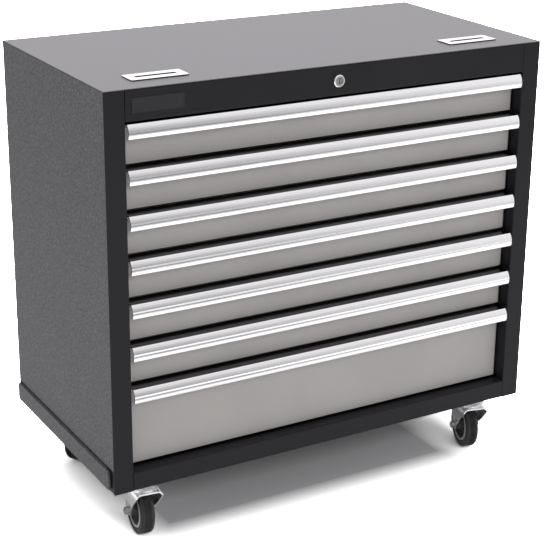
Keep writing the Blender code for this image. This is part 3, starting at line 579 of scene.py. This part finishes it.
def from_bmesh(bm, name, coat, body):
    bmesh.ops.remove_doubles(bm, verts=bm.verts, dist=merge_distance)
    bmesh.ops.recalc_face_normals(bm, faces=bm.faces)
    mesh = bpy.data.meshes.new(name)
    bm.to_mesh(mesh)
    bm.free()
    mesh.materials.append(coats[coat])
    mesh.shade_smooth()
    mesh.set_sharp_from_angle(angle=math.radians(smooth_degrees))
    piece = bpy.data.objects.new(name, mesh)
    bpy.context.scene.collection.objects.link(piece)
    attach(piece, body)
    return piece


def add_turned(bm, profile, place, facets):
    """A closed profile of (radius, height) turned round the Z of a placing matrix."""
    rings = []
    for i in range(facets):
        angle = 2 * math.pi * i / facets
        c, s = math.cos(angle), math.sin(angle)
        rings.append([bm.verts.new(place @ Vector((r * c, r * s, h))) for r, h in profile])
    count = len(profile)
    for i in range(facets):
        here, there = rings[i], rings[(i + 1) % facets]
        for k in range(count):
            m = (k + 1) % count
            bm.faces.new((here[k], here[m], there[m], there[k]))


def facing(place, normal):
    """A matrix whose Z lies along a normal at a place."""
    return Matrix.Translation(place) @ Vector(normal).to_track_quat("Z", "Y").to_matrix().to_4x4()


def upright_plate(name, low, high, thickness, corner, coat, body):
    """A plate against a front face, with round corners and softened edges: (x, z) corners at low's y."""
    outline = []
    corners = ((high[0] - corner, high[2] - corner, 0), (low[0] + corner, high[2] - corner, 90),
               (low[0] + corner, low[2] + corner, 180), (high[0] - corner, low[2] + corner, 270))
    for x, z, start in corners:
        for i in range(corner_steps + 1):
            angle = math.radians(start + 90 * i / corner_steps)
            outline.append((x + corner * math.cos(angle), z + corner * math.sin(angle)))
    bm = bmesh.new()
    near = [bm.verts.new((x, low[1], z)) for x, z in outline]
    far = [bm.verts.new((x, low[1] - thickness, z)) for x, z in outline]
    bm.faces.new(near)
    bm.faces.new(list(reversed(far)))
    for i in range(len(outline)):
        j = (i + 1) % len(outline)
        bm.faces.new((near[i], far[i], far[j], near[j]))
    rim = [edge for edge in bm.edges if edge.calc_face_angle(0.0) > math.radians(sharp_degrees)]
    bmesh.ops.bevel(bm, geom=rim, offset=thickness * label_edge_share, segments=2, affect="EDGES",
                    profile=0.5)
    return from_bmesh(bm, name, coat, body)


def dress_case():
    for name in ("left_side_panel", "right_side_panel", "back_panel", "left_base_strip", "right_base_strip"):
        dress(name, "textured")
    dress("top_panel", "top")
    # Painted shade: the base tray in a blacker black, dark in the groove above the base strips
    dress("base_tray", "pit")
    for name in ("left_front_post", "right_front_post", "top_rail", "bottom_rail"):
        dress(name, "black")
    for side in ("left", "right"):
        dress(f"{side}_slot_plate", "chrome")
        dress(f"{side}_runner_panel", "zinc")


def dress_lock():
    dress("lock_housing", "lock_ring")
    dress("lock_plug", "lock_plug")
    dress("lock_shaft", "steel")
    dress("lock_bar", "zinc")


def dress_drawers():
    for number in range(1, drawer_count + 1):
        dress(f"drawer_{number}_tray", "panel")
        dress(f"drawer_{number}_front", "panel")
        dress(f"drawer_{number}_handle", "rail")


def label_plate():
    """The blank plate at the left end of the top rail."""
    x_low = span("top_rail", 0)[0]
    y_front = span("top_rail", 1)[0]
    z = sum(span("top_rail", 2)) / 2
    low = (x_low + label_inset, y_front - label_gap, z - label_height / 2)
    high = (x_low + label_inset + label_length, y_front, z + label_height / 2)
    upright_plate("label_plate", low, high, label_wall, label_corner, "label", "cabinet")


def wheel_frame(spot):
    """The wheel's centre and the direction of its axle, from the joint that it rolls on."""
    joint = next(j for j in frame["joints"] if j["name"] == f"roll_{spot}")
    return Vector(joint["pos_m"]), Vector(joint["axis"]).normalized()


def tyre_profile(radius, half):
    """One round shoulder, the grooved tread and the other shoulder, as (radius, place) points."""
    shoulder = radius * shoulder_share
    edge = half - shoulder
    turns = [math.pi / 2 * i / shoulder_steps for i in range(shoulder_steps + 1)]
    low = [(radius - shoulder + shoulder * math.sin(a), -edge - shoulder * math.cos(a)) for a in turns]
    high = [(r, -x) for r, x in reversed(low)]
    tread = []
    pitch = 2 * edge / (tread_grooves + 1)
    for groove in range(1, tread_grooves + 1):
        x = -edge + groove * pitch
        w = tread_groove_width / 2
        floor = w * groove_floor_share
        tread += [(radius, x - w), (radius - tread_groove_depth, x - floor),
                  (radius - tread_groove_depth, x + floor), (radius, x + w)]
    return low + tread + high


def round_tyre(spot):
    """The tyre, with round shoulders and fine tread grooves."""
    centre, axis = wheel_frame(spot)
    low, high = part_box(f"caster_{spot}_tyre")
    radius = (high[2] - low[2]) / 2
    half = (high[0] - low[0] - 2 * radius * abs(axis.y)) / abs(axis.x) / 2
    inner = radius * bore_share
    lip = half * lip_share
    profile = [(inner, -lip), *tyre_profile(radius, half), (inner, lip)]
    bm = bmesh.new()
    add_turned(bm, profile, facing(centre, axis), tyre_facets)
    piece = from_bmesh(bm, f"tyre_{spot}", "rubber", f"wheel_{spot}")
    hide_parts(f"caster_{spot}_tyre")
    return radius, half, inner


def round_hub(spot, radius, half, inner):
    """The hub: a dished web with ribs, and a barrel."""
    rim = inner - skin_gap
    barrel = radius * barrel_share
    bore = radius * axle_share
    half_rim = half * rim_half_share
    half_web = half * web_half_share
    half_barrel = half * barrel_half_share
    side = [(bore, half_barrel), (barrel, half_barrel),
            (barrel * neck_share, half_web * neck_web_share), (barrel * barrel_foot_share, half_web),
            (rim * rim_foot_share, half_web), (rim * rim_top_share, half_rim), (rim, half_rim)]
    bm = bmesh.new()
    place = facing(*wheel_frame(spot))
    add_turned(bm, [(r, -x) for r, x in side] + list(reversed(side)), place, tyre_facets)
    start = barrel * rib_start_share
    end = rim * rim_top_share
    foot = half_web * rib_foot_share
    height = half_rim * rib_height_share
    for k in range(hub_spokes):
        turn = Matrix.Rotation(2 * math.pi * k / hub_spokes, 4, "Z")
        for way in (-1, 1):
            add_rib(bm, place @ turn, start, end, radius * rib_share, way * foot, way * height)
    piece = from_bmesh(bm, f"hub_{spot}", "hub", f"wheel_{spot}")
    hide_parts(f"caster_{spot}_hub")


def add_rib(bm, place, start, end, half_width, low, high):
    """A tapered rib from the barrel to the rim on one side of the web."""
    far_width = half_width * rib_far_width_share
    far_high = high * rib_far_height_share
    shape = [(start, -half_width, low), (end, -far_width, low), (end, far_width, low),
             (start, half_width, low), (start, -half_width, high), (end, -far_width, far_high),
             (end, far_width, far_high), (start, half_width, high)]
    v = [bm.verts.new(place @ Vector(spot)) for spot in shape]
    for quad in ((0, 1, 2, 3), (7, 6, 5, 4), (0, 4, 5, 1), (1, 5, 6, 2), (2, 6, 7, 3), (3, 7, 4, 0)):
        bm.faces.new([v[i] for i in quad])


def hub_ring(spot, half, inner):
    """The pale ring on each side of the wheel, where the hub meets the tyre."""
    bm = bmesh.new()
    place = facing(*wheel_frame(spot))
    near = inner - ring_width * ring_tuck_share
    far = inner + ring_width
    face = half * lip_share + skin_gap
    foot = face - ring_sunk
    top = face + ring_proud
    ring = [(near, foot), (near, top - ring_soft), (near + ring_soft, top),
            (far - ring_soft, top), (far, top - ring_soft), (far, foot)]
    for side in (-1, 1):
        add_turned(bm, [(r, side * x) for r, x in ring], place, tyre_facets)
    from_bmesh(bm, f"hub_ring_{spot}", "ring", f"wheel_{spot}")


def casters():
    for spot in ("front_left", "front_right", "rear_left", "rear_right"):
        dress(f"caster_{spot}_plate", "zinc")
        dress(f"caster_{spot}_fork", "zinc")
        dress(f"caster_{spot}_axle", "steel")
        radius, half, inner = round_tyre(spot)
        round_hub(spot, radius, half, inner)
        hub_ring(spot, half, inner)


def studio_floor():
    bm = bmesh.new()
    bmesh.ops.create_grid(bm, x_segments=1, y_segments=1, size=floor_half_size)
    bmesh.ops.translate(bm, verts=bm.verts, vec=(0.0, 0.0, cad_bounds[0][2]))
    mesh = bpy.data.meshes.new("studio_floor")
    bm.to_mesh(mesh)
    bm.free()
    mesh.materials.append(floor_paint())
    floor = bpy.data.objects.new("studio_floor", mesh)
    bpy.context.scene.collection.objects.link(floor)


def soft_boxes():
    """Lamps aimed at the cabinet's middle, kept out of the reflections, which mirror the room alone."""
    middle = (Vector(cad_bounds[0]) + Vector(cad_bounds[1])) / 2
    for name, (place, size, power) in lamps.items():
        light = bpy.data.lights.new(name, "AREA")
        light.shape = "RECTANGLE"
        light.size, light.size_y = size
        light.energy = power
        holder = bpy.data.objects.new(name, light)
        holder.location = place
        holder.rotation_euler = (middle - Vector(place)).to_track_quat("-Z", "Y").to_euler()
        holder.visible_glossy = False
        bpy.context.scene.collection.objects.link(holder)


def room_light():
    """The world: a dim room for the paint, a clearer one for what mirrors it, and white where it is seen."""
    world = bpy.data.worlds.new("studio")
    world.use_nodes = True
    bpy.context.scene.world = world
    room = Tree(world.node_tree)
    sky = room.add("ShaderNodeTexCoord").outputs["Generated"]
    rise = room.axis(sky, "Z")
    falling = room.ramp(rise, [(place, (level,) * 3) for place, level in room_light_shares])
    mirrored = room.ramp(rise, [(place, (level,) * 3) for place, level in room_mirrored_shares])
    window = room.spread(room.axis(sky, "X"), 0.0, 1.0, *window_edge_shares)
    mirrored = room.mixed(window, mirrored, (window_mirrored,) * 3)
    backdrop = room.spread(room.axis(sky, "Y"), 0.0, 1.0, *backdrop_edge_shares)
    mirrored = room.mixed(backdrop, mirrored, (backdrop_mirrored,) * 3)
    path = room.add("ShaderNodeLightPath")
    level = room.mixed(path.outputs["Is Glossy Ray"], falling, mirrored)
    seen = room.maths("MAXIMUM", path.outputs["Is Camera Ray"], path.outputs["Is Transmission Ray"])
    background = room.tree.nodes["Background"]
    room.feed(background.inputs["Color"], room.mixed(seen, level, (1.0, 1.0, 1.0)))


def photo_camera():
    """The camera that took the photograph, as fitted to the cabinet's edges."""
    post_low, post_high = span("left_front_post", 0)[0], span("right_front_post", 0)[1]
    width = post_high - post_low
    front_y = span("left_front_post", 1)[0]
    foot_z = span("left_front_post", 2)[0]
    turn = Vector(camera_turn)
    flip = Matrix.Diagonal((1.0, -1.0, -1.0))
    look = Matrix.Rotation(turn.length, 3, turn.normalized()).transposed() @ flip
    data = bpy.data.cameras.new("photo_camera")
    data.sensor_width = sensor_millimetres
    data.lens = focal_pixels / picture_width * sensor_millimetres
    data.shift_x = (picture_width / 2 - centre_x_pixels) / picture_width
    data.shift_y = (centre_y_pixels - picture_height / 2) / picture_width
    data.clip_end = camera_reach
    camera = bpy.data.objects.new("photo_camera", data)
    x, y, z = (share * width for share in camera_place_shares)
    camera.matrix_world = Matrix.Translation((x, y + front_y, z + foot_z)) @ look.to_4x4()
    bpy.context.scene.collection.objects.link(camera)
    bpy.context.scene.camera = camera


dress_case()
dress_lock()
dress_drawers()
label_plate()
casters()
studio_floor()
soft_boxes()
room_light()
photo_camera()
bpy.context.scene.view_settings.view_transform = "Standard"

bpy.context.view_layer.update()
